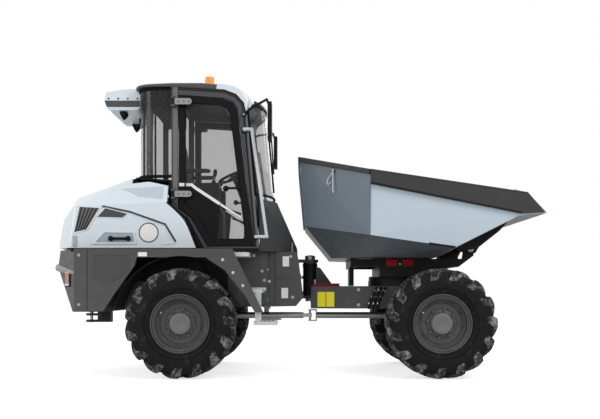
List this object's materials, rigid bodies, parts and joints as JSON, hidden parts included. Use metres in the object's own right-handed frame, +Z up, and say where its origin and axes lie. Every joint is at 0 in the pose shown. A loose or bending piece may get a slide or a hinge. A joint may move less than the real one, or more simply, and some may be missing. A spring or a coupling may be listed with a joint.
{
  "type": "site dumper",
  "caption": "Articulated site dumper with a glazed cab over the rear axle, a lifting rear hood, and a slewing, forward-tipping skip over the front axle.",
  "frame": {"origin": "on the ground under the middle of the whole machine, with the skip down and the steering straight", "axes": "+X forward towards the skip, +Y to the machine's left, +Z up"},
  "size_m": [4.86, 2.245, 3.0851],
  "materials": {
    "chassis_paint": "satin",
    "black_paint": "satin",
    "chassis_plastic": "matte",
    "black_plastic": "matte",
    "lamp_red": "gloss",
    "hood_shell": "gloss",
    "skip_paint": "satin",
    "steel": "satin",
    "beacon_amber": "gloss",
    "window_glass": "polished",
    "seat_cloth": "woven",
    "rail_paint": "satin",
    "rim_paint": "satin",
    "tyre_rubber": "matte",
    "red_paint": "satin",
    "chrome_rod": "polished"
  },
  "bodies": {
    "rear": {"rear_frame": "chassis_paint", "counterweight": "chassis_paint", "tow_hitch": "black_paint", "side_panel_right": "chassis_paint", "side_panel_left": "chassis_paint", "battery_block": "black_plastic", "rear_axle": "black_paint", "rear_lamps": "lamp_red", "kingpin": "steel", "propshaft_rear": "steel", "cab_frame": "chassis_paint", "cab_tub": "black_paint", "cab_roof": "hood_shell", "roof_unit": "hood_shell", "beacon": "beacon_amber", "windshield": "window_glass", "rear_glass": "window_glass", "front_cowl": "chassis_plastic", "seat_base": "black_plastic", "seat_cushion": "seat_cloth", "seat_back": "seat_cloth", "dashboard": "black_plastic", "steering_wheel": "black_plastic", "mirrors": "black_plastic", "handrails": "rail_paint", "steps": "rail_paint", "work_lamps": "black_plastic"},
    "hood": {"hood": "hood_shell", "hood_side_right": "hood_shell", "hood_side_left": "hood_shell", "hood_grilles": "black_plastic", "hood_latches": "black_plastic"},
    "door_right": {"door_right": "black_paint", "door_glass_right": "window_glass"},
    "door_left": {"door_left": "black_paint", "door_glass_left": "window_glass"},
    "front": {"front_frame": "chassis_paint", "front_axle": "black_paint", "slew_bearing": "steel", "lock_bar": "red_paint", "propshaft_front": "steel"},
    "slew": {"slew_frame": "black_paint"},
    "skip": {"skip_shell": "skip_paint", "skip_rails": "chassis_paint", "skip_underframe": "black_paint"},
    "steer_barrel": {"steer_barrel": "black_paint"},
    "steer_rod": {"steer_rod": "chrome_rod"},
    "tip_barrel": {"tip_barrel": "black_paint"},
    "tip_rod": {"tip_rod": "chrome_rod"},
    "wheel_rear_right": {"tyre_rear_right": "tyre_rubber", "rim_rear_right": "rim_paint"},
    "wheel_rear_left": {"tyre_rear_left": "tyre_rubber", "rim_rear_left": "rim_paint"},
    "wheel_front_right": {"tyre_front_right": "tyre_rubber", "rim_front_right": "rim_paint"},
    "wheel_front_left": {"tyre_front_left": "tyre_rubber", "rim_front_left": "rim_paint"}
  },
  "joints": [
    {"name": "wheel_rear_right", "type": "hinge", "parent": "rear", "child": "wheel_rear_right", "pos_m": [-1.11, -0.92, 0.5375], "axis": [0, 1, 0], "continuous": true},
    {"name": "wheel_rear_left", "type": "hinge", "parent": "rear", "child": "wheel_rear_left", "pos_m": [-1.11, 0.92, 0.5375], "axis": [0, 1, 0], "continuous": true},
    {"name": "wheel_front_right", "type": "hinge", "parent": "front", "child": "wheel_front_right", "pos_m": [1.42, -0.92, 0.5375], "axis": [0, 1, 0], "continuous": true},
    {"name": "wheel_front_left", "type": "hinge", "parent": "front", "child": "wheel_front_left", "pos_m": [1.42, 0.92, 0.5375], "axis": [0, 1, 0], "continuous": true},
    {"name": "articulation", "type": "hinge", "parent": "rear", "child": "front", "pos_m": [0.155, 0, 0.97], "axis": [0, 0, -1], "range_deg": [-33, 33]},
    {"name": "skip_slew", "type": "hinge", "parent": "front", "child": "slew", "pos_m": [1.13, 0, 0.95], "axis": [0, 0, 1], "range_deg": [-90, 90]},
    {"name": "skip_tip", "type": "hinge", "parent": "slew", "child": "skip", "pos_m": [1.801, 0, 1.292], "axis": [0, 1, 0], "range_deg": [0, 55]},
    {"name": "hood_lift", "type": "hinge", "parent": "rear", "child": "hood", "pos_m": [-2.38, 0, 1.296], "axis": [0, -1, 0], "range_deg": [0, 60]},
    {"name": "door_right_swing", "type": "hinge", "parent": "rear", "child": "door_right", "pos_m": [-1.228, -0.72, 2.3], "axis": [0, 0, -1], "range_deg": [0, 85]},
    {"name": "door_left_swing", "type": "hinge", "parent": "rear", "child": "door_left", "pos_m": [-1.228, 0.72, 2.3], "axis": [0, 0, 1], "range_deg": [0, 85]},
    {"name": "steer_barrel_swivel", "type": "hinge", "parent": "rear", "child": "steer_barrel", "pos_m": [-0.275, 0.165, 1.01], "axis": [0, 0, 1], "range_deg": [-7.8, 7.8]},
    {"name": "steer_rod_slide", "type": "slide", "parent": "steer_barrel", "child": "steer_rod", "axis": [0.999, 0.045, 0], "range_m": [-0.1035, 0.1035]},
    {"name": "tip_barrel_swivel", "type": "hinge", "parent": "slew", "child": "tip_barrel", "pos_m": [1.04, 0, 1.052], "axis": [0, -1, 0], "range_deg": [0, 17]},
    {"name": "tip_rod_slide", "type": "slide", "parent": "tip_barrel", "child": "tip_rod", "axis": [0.9624, 0, 0.2715], "range_m": [0, 0.0785]}
  ],
  "couplings": [
    {"joint": "steer_barrel_swivel", "follows": "articulation", "ratio": -0.23066},
    {"joint": "steer_rod_slide", "follows": "articulation", "m_per_rad": 0.17729},
    {"joint": "tip_barrel_swivel", "follows": "skip_tip", "ratio": 0.30592},
    {"joint": "tip_rod_slide", "follows": "skip_tip", "m_per_rad": 0.080861}
  ]
}
